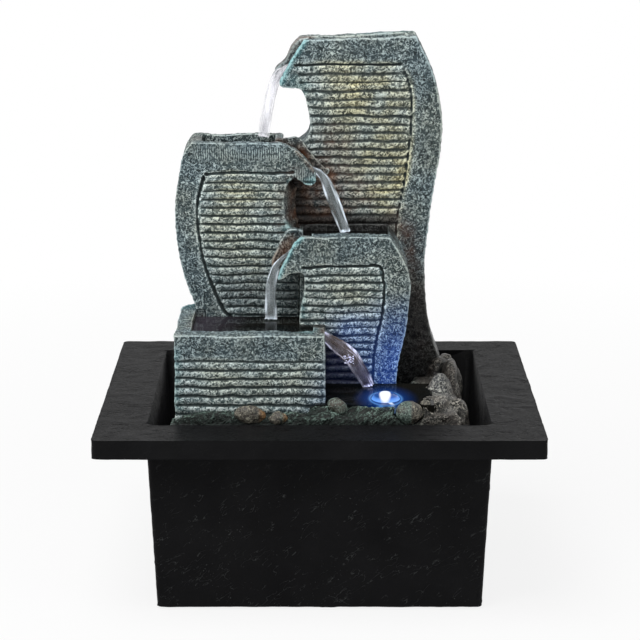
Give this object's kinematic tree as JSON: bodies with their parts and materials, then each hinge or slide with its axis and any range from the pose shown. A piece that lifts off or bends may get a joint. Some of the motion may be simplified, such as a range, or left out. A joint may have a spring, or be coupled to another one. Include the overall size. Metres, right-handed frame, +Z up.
{
  "type": "tabletop water fountain",
  "caption": "Tabletop water fountain with ribbed slate-look slabs that pour water from pool to pool into a black square tub.",
  "frame": {"origin": "centre of the whole fountain's footprint, on the surface that it stands on", "axes": "+X to the fountain's right as seen from the front, +Y to the back, +Z up; the front faces -Y"},
  "size_m": [0.21, 0.172, 0.266],
  "materials": {
    "tub_plastic": "satin black, fine slate grain",
    "slate_resin": "cast resin, dark slate with pale dry-brushed relief",
    "rock_resin": "cast resin, wet dark rock",
    "pebble_stone": "worn grey-green stone",
    "rubber": "matt black",
    "pump_plastic": "moulded black",
    "impeller_plastic": "natural white",
    "dial_plastic": "moulded blue",
    "magnet": "sintered, dark grey",
    "shaft_ceramic": "ground white",
    "cover_plastic": "painted to match the slabs",
    "screw_steel": "bright stainless",
    "clear_tube": "clear soft tube",
    "board": "white lacquered board",
    "lens": "clear lens, lit blue"
  },
  "bodies": {
    "basin": {"basin": "tub_plastic", "basin_feet": "rubber", "cord_grommet": "rubber", "pump_housing": "pump_plastic", "suction_cups": "rubber", "rotor_shaft": "shaft_ceramic", "shaft_bushes": "rubber", "chamber_seal": "rubber", "volute": "pump_plastic", "pump_gland": "rubber"},
    "rotor": {"rotor_magnet": "magnet", "impeller": "impeller_plastic"},
    "intake_cover": {"strainer": "pump_plastic"},
    "regulator": {"flow_dial": "dial_plastic"},
    "cascade": {"plinth": "rock_resin", "plinth_pads": "rubber", "low_block": "slate_resin", "left_slab": "slate_resin", "front_slab": "slate_resin", "tower": "slate_resin", "tower_cover": "cover_plastic", "cover_screws": "screw_steel", "riser_tube": "clear_tube", "outlet_fitting": "pump_plastic", "led_housing": "pump_plastic", "led_board": "board", "led_lens": "lens", "led_ring": "rubber", "pebbles": "pebble_stone"}
  },
  "joints": [
    {"name": "cascade_lift", "type": "slide", "parent": "basin", "child": "cascade", "axis": [0, 0, 1], "range_m": [0, 0.06]},
    {"name": "rotor_spin", "type": "hinge", "parent": "basin", "child": "rotor", "pos_m": [0.04, 0.025, 0.0244], "axis": [1, 0, 0], "continuous": true},
    {"name": "strainer_pull", "type": "slide", "parent": "basin", "child": "intake_cover", "axis": [-1, 0, 0], "range_m": [0, 0.02]},
    {"name": "dial_turn", "type": "hinge", "parent": "intake_cover", "child": "regulator", "pos_m": [0.0045, 0.025, 0.0244], "axis": [1, 0, 0], "range_deg": [0, 90]}
  ]
}
